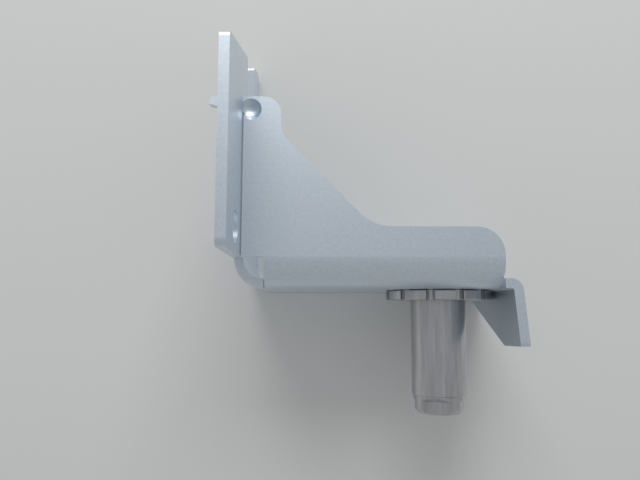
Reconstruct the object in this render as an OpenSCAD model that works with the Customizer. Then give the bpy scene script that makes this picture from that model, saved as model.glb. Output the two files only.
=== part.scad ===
// Fridge door hinge: a folded steel bracket that carries a turned hinge pin.
// X runs along the arm away from the cabinet, Z points up, and the pin hangs down.
// The origin is on the pin's axis, at the face that the door bears on.

/* [Sheet] */
// Thickness of the folded sheet
sheet_t = 1.9; // [1.5:0.1:2.5]
// Inside radius of the two large bends
bend_r = 4.1; // [3.5:0.1:4.5]

/* [Arm] */
// Pin axis to the back of the mounting plate
reach = 43.6; // [42:0.1:50]
// Pin axis to the gusset's outer face
arm_front = 17.5; // [16.5:0.1:18.5]
// Width of the arm
arm_w = 33.9; // [32:0.1:36]
// Pin axis to the gusset's end
arm_tip = 10.1; // [9:0.1:10.2]

/* [Mounting plate] */
// Pin axis to the plate's front edge
plate_front = 35.8; // [34:0.1:38]
// Height of the plate's front edge above the arm's underside
plate_h = 43.4; // [41:0.1:46]
// Slope of the plate's top edge, in degrees
top_slope = 13.3; // [8:0.1:15]
// Diameter of the screw holes
screw_d = 6.4; // [4:0.1:7]
// Distance between the two screw holes
screw_pitch = 32; // [30:0.5:32]
// Pin axis to the front screw hole
screw_front = 24.9; // [24:0.1:27]
// Height of the screw holes above the arm's underside
screw_h = 10.9; // [10.5:0.1:14]

/* [Gusset] */
// Height of the gusset above the arm's underside
gusset_h = 38.3; // [37:0.1:39]
// Height of the gusset's straight part over the arm
rib_h = 12; // [11.5:0.1:14]
// Length of the tenon that stands out behind the plate
tenon_l = 5.1; // [3:0.1:7]

/* [Stop tab] */
// Drop of the tab below the arm's underside
tab_drop = 11.3; // [8:0.1:14]
// Lean of the tab away from upright, in degrees
tab_lean = 5; // [0:0.5:12]
// Width of the tab at its tip
tab_tip_w = 10.7; // [6:0.1:14]

/* [Pin] */
// Diameter of the pin that the door turns on
pin_d = 11.9; // [11:0.1:12]
// Length of the round part of the pin
pin_l = 20.1; // [16:0.1:26]
// Length of the square end
square_l = 4; // [3:0.1:8]
// Width of the square end across its flats
square_af = 9.6; // [9:0.1:10]
// Diameter of the pin's shank in the arm
shank_d = 10; // [9.6:0.1:10.4]

/* [Toothed disc] */
// Diameter of the disc over its teeth
disc_d = 23; // [21:0.1:23]
// Thickness of the disc
disc_t = 2.1; // [2:0.1:3]
// Number of teeth
teeth = 12; // [8:1:16]
// Radius of the round gap between two teeth
gap_r = 1; // [0.8:0.05:1.3]

/* [Hidden] */
$fn = 96;
face_gap = 0.1;             // between the arm and what turns against it
fit = 0.05;                 // radial clearance of the shank in the arm
seat = disc_t + face_gap;   // height of the arm's underside
bend_o = bend_r + sheet_t;
plate_back = -reach;
plate_in = plate_back + sheet_t;
arm_near = -arm_front;
arm_far = arm_near + arm_w;
bend_x = plate_back + bend_o;
bend_y = arm_near + bend_o;
relief_y = bend_y - 0.9;    // where the plate's own bend begins
relief_x = bend_x + 0.4;    // where the gusset's own bend begins

// Mounting plate
notch_near = -10.7;         // the notch's two sides at the plate's top edge
notch_far = 1.2;
notch_lean = 2.1;           // how far both sides lean over the notch's depth
notch_floor = 36;
lug_far = 11.8;             // the plate's far edge at its top
front_low_r = 1.5;
front_top_r = 1.2;
notch_top_r = 0.8;
notch_low_r = 1.5;
lug_r = 2.2;

// Gusset, from its left edge round to its end
gusset_gap = 0.35;          // between the gusset's edge and the plate
tenon_root = 2.65;          // depth of the tenon at the plate's back
tenon_tip = 1.55;           // depth of the tenon at its tip
tenon_slant = 0.65;
neck_x = -34.15;            // right-hand side of the gusset's upper lobe
neck_r = 3.7;
slope_x = -33.75;           // top of the slanted edge
slope_z = 30.5;
slope_r = 3;
foot_x = -15.75;            // foot of the slanted edge
foot_r = 9;
end_r = 5.4;
dimple_x = -40.1;
dimple_z = 2.65;            // depth of the dimple's middle below the top
dimple_r = 2.7;             // radius of the ball that presses the dimple
dimple_out = 1.6;           // how far the ball's middle stays outside

// Stop tab
tab_r = 0.5;                // tight, so that the disc clears the fold
tab_o = tab_r + sheet_t;
tab_x = arm_tip + 1.1;      // where the fold begins
tab_near = arm_near + 0.6;
tab_side = 2.3;             // drop of the tab at its far side
tab_dip = 0.4;              // how much deeper the tab gets along its tip
tab_corner_r = 0.8;
tab_tip_r = 2.5;

// Pin, disc and ring
ring_t = 1.2;
ring_d = 14;
ring_gap = 6;               // opening of the retaining ring
groove_d = 8.6;
ring_z = seat + sheet_t + face_gap;
shank_top = ring_z + ring_t + 1.2;
square_r = 5.7;             // radius over the square end's corners
square_drop = 1.3;          // from the round part's end down to the flats
square_turn = -110.3;       // direction that one flat faces
square_tip_r = 4.7;         // radius at the end's chamfer
gap_in = 0.5;               // how far a gap's middle lies inside the rim
gap_turn = 12;              // direction of one gap between teeth
rim_r = 0.4;                // rounding of the disc's rim

function unit(v) = v / norm(v);

// Points of a corner at b, rounded with radius r between its neighbours a and c
function corner(a, b, c, r, n = 10) =
    let (
        u = unit(a - b),
        v = unit(c - b),
        half = acos(u * v) / 2,
        m = b + unit(u + v) * r / sin(half),
        p = b + u * r / tan(half) - m,
        s = sign(u[0] * v[1] - u[1] * v[0]),
        sweep = -s * (180 - 2 * half)
    )
    [for (i = [0 : n]) let (t = sweep * i / n)
        m + [p[0] * cos(t) - p[1] * sin(t), p[0] * sin(t) + p[1] * cos(t)]];

// Outline with each corner [x, y, r] rounded, or kept sharp where r is 0
function outline(c) = [
    for (i = [0 : len(c) - 1])
        let (
            k = len(c),
            a = c[(i + k - 1) % k],
            b = c[i],
            d = c[(i + 1) % k]
        )
        each (b[2] == 0 ? [[b[0], b[1]]]
            : corner([a[0], a[1]], [b[0], b[1]], [d[0], d[1]], b[2]))
];

// Height of the plate's slanted top edge
function top_z(y) = plate_h + (y + plate_front) * tan(top_slope);

// Outline that stands upright in the YZ plane, from x to x + thick
module yz_outline(x, thick) {
    translate([x, 0, 0])
        rotate([90, 0, 90])
            linear_extrude(thick)
                children();
}

// Quarter of a tube along the Y axis, over the corner towards -X and -Z
module corner_bend(length) {
    rotate([-90, 0, 0])
        intersection() {
            difference() {
                cylinder(r = bend_o, h = length);
                translate([0, 0, -1])
                    cylinder(r = bend_r, h = length + 2);
            }
            translate([-bend_o - 1, 0, -1])
                cube([bend_o + 1, bend_o + 1, length + 2]);
        }
}

module mounting_plate() {
    difference() {
        yz_outline(plate_back, sheet_t)
            polygon(outline([
                [-plate_front, bend_o, front_low_r],
                [-plate_front, plate_h, front_top_r],
                [notch_near, top_z(notch_near), notch_top_r],
                [notch_near + notch_lean, notch_floor, notch_low_r],
                [notch_far + notch_lean, notch_floor, notch_low_r],
                [notch_far, top_z(notch_far), notch_top_r],
                [lug_far, top_z(lug_far), lug_r],
                [arm_far, bend_o, 0]
            ]));
        for (y = [0, screw_pitch])
            translate([plate_back - 1, y - screw_front, screw_h])
                rotate([0, 90, 0])
                    cylinder(d = screw_d, h = sheet_t + 2);
    }
    translate([bend_x, relief_y, bend_o])
        corner_bend(arm_far - relief_y);
}

module gusset() {
    left = plate_in + gusset_gap;
    tenon_end = plate_back - tenon_l;
    difference() {
        translate([0, arm_near + sheet_t, 0])
            rotate([90, 0, 0])
                linear_extrude(sheet_t)
                    polygon(outline([
                        [left, bend_o, 0.5],
                        [left, gusset_h - tenon_root - 0.6, 0.4],
                        [plate_back, gusset_h - tenon_root, 0],
                        [tenon_end, gusset_h - tenon_tip, 0.3],
                        [tenon_end + tenon_slant, gusset_h, 0.5],
                        [neck_x, gusset_h, neck_r],
                        [slope_x, slope_z, slope_r],
                        [foot_x, rib_h, foot_r],
                        [arm_tip, rib_h, end_r],
                        [arm_tip, bend_o, 0]
                    ]));
        translate([dimple_x, arm_near - dimple_out, gusset_h - dimple_z])
            sphere(r = dimple_r);
    }
    translate([relief_x, bend_y, bend_o])
        rotate([0, 0, 90])
            mirror([0, 1, 0])
                corner_bend(arm_tip - relief_x);
}

module stop_tab() {
    turn = 90 - tab_lean;
    steps = 14;
    tip_z = -tab_drop - 1;
    run = (sheet_t - tab_o - tip_z) / cos(tab_lean);
    // Point of the bend at radius r, where the bend has turned by a
    function at(r, a) = [tab_x + r * sin(a), sheet_t - tab_o + r * cos(a)];
    down = [sin(tab_lean), -cos(tab_lean)] * run;
    intersection() {
        translate([0, arm_far, 0])
            rotate([90, 0, 0])
                linear_extrude(arm_far - tab_near)
                    polygon(concat(
                        [for (i = [0 : steps]) at(tab_o, turn * i / steps)],
                        [at(tab_o, turn) + down, at(tab_r, turn) + down],
                        [for (i = [steps : -1 : 0]) at(tab_r, turn * i / steps)]
                    ));
        yz_outline(tab_x - 1, tab_o + 6)
            polygon(outline([
                [tab_near, -tab_drop, tab_corner_r],
                [tab_near + tab_tip_w, -tab_drop - tab_dip, tab_tip_r],
                [arm_far, -tab_side, tab_corner_r],
                [arm_far, sheet_t + 1, 0],
                [tab_near, sheet_t + 1, 0]
            ]));
    }
}

module arm() {
    difference() {
        linear_extrude(sheet_t)
            polygon([
                [bend_x, bend_y],
                [arm_tip, bend_y],
                [arm_tip, tab_near],
                [tab_x, tab_near],
                [tab_x, arm_far],
                [bend_x, arm_far]
            ]);
        translate([0, 0, -1])
            cylinder(d = shank_d + 2 * fit, h = sheet_t + 2);
    }
}

module bracket() {
    color([0.80, 0.84, 0.88])
        translate([0, 0, seat])
            union() {
                mounting_plate();
                gusset();
                arm();
                stop_tab();
            }
}

// Room beside one flat of the square end, with a slanted shoulder above it
module flat_cut() {
    flat = square_af / 2;
    low = -pin_l - square_l - 1;
    shoulder = -pin_l - square_drop;
    rise = 2;
    translate([0, pin_d, 0])
        rotate([90, 0, 0])
            linear_extrude(2 * pin_d)
                polygon([
                    [flat, low],
                    [flat, shoulder],
                    [flat + rise, shoulder + rise],
                    [pin_d, shoulder + rise],
                    [pin_d, low]
                ]);
}

module square_end() {
    tip = pin_l + square_l;
    step = pin_d / 2 - square_r;
    difference() {
        union() {
            translate([0, 0, -pin_l - step])
                cylinder(r1 = square_r, r2 = pin_d / 2, h = step);
            intersection() {
                translate([0, 0, -tip])
                    cylinder(r = square_r, h = square_l - step);
                translate([0, 0, -tip])
                    cylinder(r1 = square_tip_r, r2 = square_tip_r + square_l, h = square_l);
            }
        }
        for (side = [0 : 3])
            rotate([0, 0, square_turn + side * 90])
                flat_cut();
    }
}

module hinge_pin() {
    color([0.74, 0.75, 0.76])
        union() {
            difference() {
                cylinder(d = shank_d, h = shank_top);
                translate([0, 0, ring_z])
                    difference() {
                        cylinder(d = shank_d + 1, h = ring_t);
                        translate([0, 0, -1])
                            cylinder(d = groove_d, h = ring_t + 2);
                    }
            }
            translate([0, 0, -pin_l])
                cylinder(d = pin_d, h = pin_l);
            square_end();
        }
}

module toothed_disc() {
    rim = disc_d / 2;
    color([0.66, 0.69, 0.72])
        difference() {
            rotate_extrude()
                polygon(outline([
                    [shank_d / 2, 0, 0],
                    [rim, 0, rim_r],
                    [rim, disc_t, rim_r],
                    [shank_d / 2, disc_t, 0]
                ]));
            for (i = [0 : teeth - 1])
                rotate([0, 0, gap_turn + i * 360 / teeth])
                    translate([rim - gap_in, 0, -1])
                        cylinder(r = gap_r, h = disc_t + 2, $fn = 32);
        }
}

module retaining_ring() {
    color([0.45, 0.45, 0.47])
        translate([0, 0, ring_z])
            difference() {
                cylinder(d = ring_d, h = ring_t);
                translate([0, 0, -1])
                    cylinder(d = groove_d, h = ring_t + 2);
                translate([-ring_gap / 2, 0, -1])
                    cube([ring_gap, ring_d, ring_t + 2]);
            }
}

bracket();
hinge_pin();
toothed_disc();
retaining_ring();
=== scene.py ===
import math

import bpy
from mathutils import Matrix, Vector

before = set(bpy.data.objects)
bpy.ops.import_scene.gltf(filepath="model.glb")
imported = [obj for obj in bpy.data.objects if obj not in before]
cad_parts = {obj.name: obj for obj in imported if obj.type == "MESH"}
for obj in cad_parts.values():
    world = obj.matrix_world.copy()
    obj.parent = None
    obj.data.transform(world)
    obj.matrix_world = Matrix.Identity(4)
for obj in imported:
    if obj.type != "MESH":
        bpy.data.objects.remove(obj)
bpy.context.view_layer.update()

MM = 0.001

# Camera: a little below the toothed disc, looking along +Y and slightly up
CAM_AT = (-26.15 * MM, -134.0 * MM, -2.15 * MM)
CAM_PITCH = math.radians(6.65)
CAM_ROLL = math.radians(0.15)
cam_data = bpy.data.cameras.new("camera")
cam_data.lens = 33.75
cam_data.sensor_width = 36.0
cam_data.clip_start = 0.005
cam_data.clip_end = 20.0
cam = bpy.data.objects.new("camera", cam_data)
bpy.context.scene.collection.objects.link(cam)
cam.matrix_world = (Matrix.Translation(CAM_AT)
                    @ Matrix.Rotation(math.pi / 2 + CAM_PITCH, 4, "X")
                    @ Matrix.Rotation(CAM_ROLL, 4, "Z"))
bpy.context.scene.camera = cam

scene = bpy.context.scene
scene.view_settings.view_transform = "Standard"


class Nodes:
    """Short helper for building a node tree."""

    def __init__(self, tree):
        self.tree = tree
        tree.nodes.clear()

    def add(self, kind, **props):
        n = self.tree.nodes.new(kind)
        for k, v in props.items():
            setattr(n, k, v)
        return n

    def put(self, value, socket):
        if hasattr(value, "is_output") and value.is_output:
            self.tree.links.new(value, socket)
        else:
            socket.default_value = value

    def mix(self, fac, a, b, mode="MIX"):
        n = self.add("ShaderNodeMix", data_type="RGBA", blend_type=mode)
        self.put(fac, n.inputs[0])
        self.put(a if hasattr(a, "is_output") else (*a, 1), n.inputs[6])
        self.put(b if hasattr(b, "is_output") else (*b, 1), n.inputs[7])
        return n.outputs[2]

    def noise(self, vec, scale, detail=4.0, rough=0.55, squeeze=None):
        if squeeze:
            m = self.add("ShaderNodeMapping")
            self.put(vec, m.inputs[0])
            m.inputs[3].default_value = squeeze
            vec = m.outputs[0]
        n = self.add("ShaderNodeTexNoise")
        self.put(vec, n.inputs["Vector"])
        n.inputs["Scale"].default_value = scale
        n.inputs["Detail"].default_value = detail
        n.inputs["Roughness"].default_value = rough
        return n.outputs[0]


def srgb(r, g, b):
    def lin(c):
        c /= 255
        return c / 12.92 if c <= 0.04045 else ((c + 0.055) / 1.055) ** 2.4
    return (lin(r), lin(g), lin(b))


# Noise waves per metre, and how far the marks of the turned parts are drawn out
GRAIN_SCALE = 1600
STREAK_SCALE = 900
STREAK_STRETCH = 0.08


def metal(name, build):
    """Metal whose colour and roughness come from build."""
    mat = bpy.data.materials.new(name)
    mat.use_nodes = True
    n = Nodes(mat.node_tree)
    out = n.add("ShaderNodeOutputMaterial")
    bsdf = n.add("ShaderNodeBsdfPrincipled")
    bsdf.inputs["Metallic"].default_value = 1.0
    n.tree.links.new(bsdf.outputs[0], out.inputs[0])
    co = n.add("ShaderNodeTexCoord").outputs["Object"]
    build(n, bsdf, co)
    return mat


def zinc(n, bsdf, co):
    """Pale zinc plating with a fine grain."""
    grain = n.noise(co, GRAIN_SCALE, 5, 0.6)
    n.put(n.mix(grain, srgb(205, 218, 230), srgb(235, 242, 248)), bsdf.inputs["Base Color"])
    bsdf.inputs["Roughness"].default_value = 0.42


def steel(n, bsdf, co):
    """Turned steel with marks along Z."""
    streak = n.noise(co, STREAK_SCALE, 4, 0.6, squeeze=(1, 1, STREAK_STRETCH))
    n.put(n.mix(streak, srgb(150, 150, 152), srgb(225, 226, 228)), bsdf.inputs["Base Color"])
    bsdf.inputs["Roughness"].default_value = 0.3


MATERIALS = {
    "bracket": metal("zinc_sheet", zinc),
    "hinge_pin": metal("pin_steel", steel),
    "toothed_disc": metal("disc_steel", steel),
    "retaining_ring": metal("ring_steel", steel),
}
for name, mat in MATERIALS.items():
    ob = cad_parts[name]
    ob.data.materials.clear()
    ob.data.materials.append(mat)

# Pale backdrop: the plane that the object lies against, seen from its front only
BACK_NORMAL = Vector((0.0, 0.9963, 0.0860)).normalized()
BACK_DISTANCE = 150.4 * MM
BACK_HALF = 3.0
me = bpy.data.meshes.new("backdrop")
corners = [(x * BACK_HALF, 0, z * BACK_HALF) for x, z in ((-1, -1), (1, -1), (1, 1), (-1, 1))]
me.from_pydata(corners, [], [(0, 1, 2, 3)])
backdrop = bpy.data.objects.new("backdrop", me)
scene.collection.objects.link(backdrop)
tilt = math.atan2(BACK_NORMAL.z, BACK_NORMAL.y)
point = Vector(CAM_AT) + BACK_NORMAL * BACK_DISTANCE
backdrop.matrix_world = Matrix.Translation(point) @ Matrix.Rotation(tilt, 4, "X")
mat = bpy.data.materials.new("backdrop")
mat.use_nodes = True
n = Nodes(mat.node_tree)
out = n.add("ShaderNodeOutputMaterial")
diff = n.add("ShaderNodeBsdfDiffuse")
diff.inputs[0].default_value = (*srgb(232, 232, 230), 1)
clear = n.add("ShaderNodeBsdfTransparent")
mixer = n.add("ShaderNodeMixShader")
n.put(n.add("ShaderNodeNewGeometry").outputs["Backfacing"], mixer.inputs[0])
n.put(diff.outputs[0], mixer.inputs[1])
n.put(clear.outputs[0], mixer.inputs[2])
n.put(mixer.outputs[0], out.inputs[0])
me.materials.append(mat)
backdrop.visible_shadow = False

world = bpy.data.worlds.new("studio")
scene.world = world
world.use_nodes = True
n = Nodes(world.node_tree)
out = n.add("ShaderNodeOutputWorld")
bg = n.add("ShaderNodeBackground")
bg.inputs[0].default_value = (0.86, 0.88, 0.9, 1)
bg.inputs[1].default_value = 0.45
n.put(bg.outputs[0], out.inputs[0])


def area(name, at, aim, size, power):
    data = bpy.data.lights.new(name, "AREA")
    data.shape = "RECTANGLE"
    data.size, data.size_y = size
    data.energy = power
    ob = bpy.data.objects.new(name, data)
    scene.collection.objects.link(ob)
    ob.location = at
    ob.rotation_euler = (Vector(aim) - Vector(at)).to_track_quat("-Z", "Y").to_euler()
    return ob


area("key", (-0.03, -0.35, 0.45), (-0.015, 0, 0.01), (0.4, 0.25), 1.6)
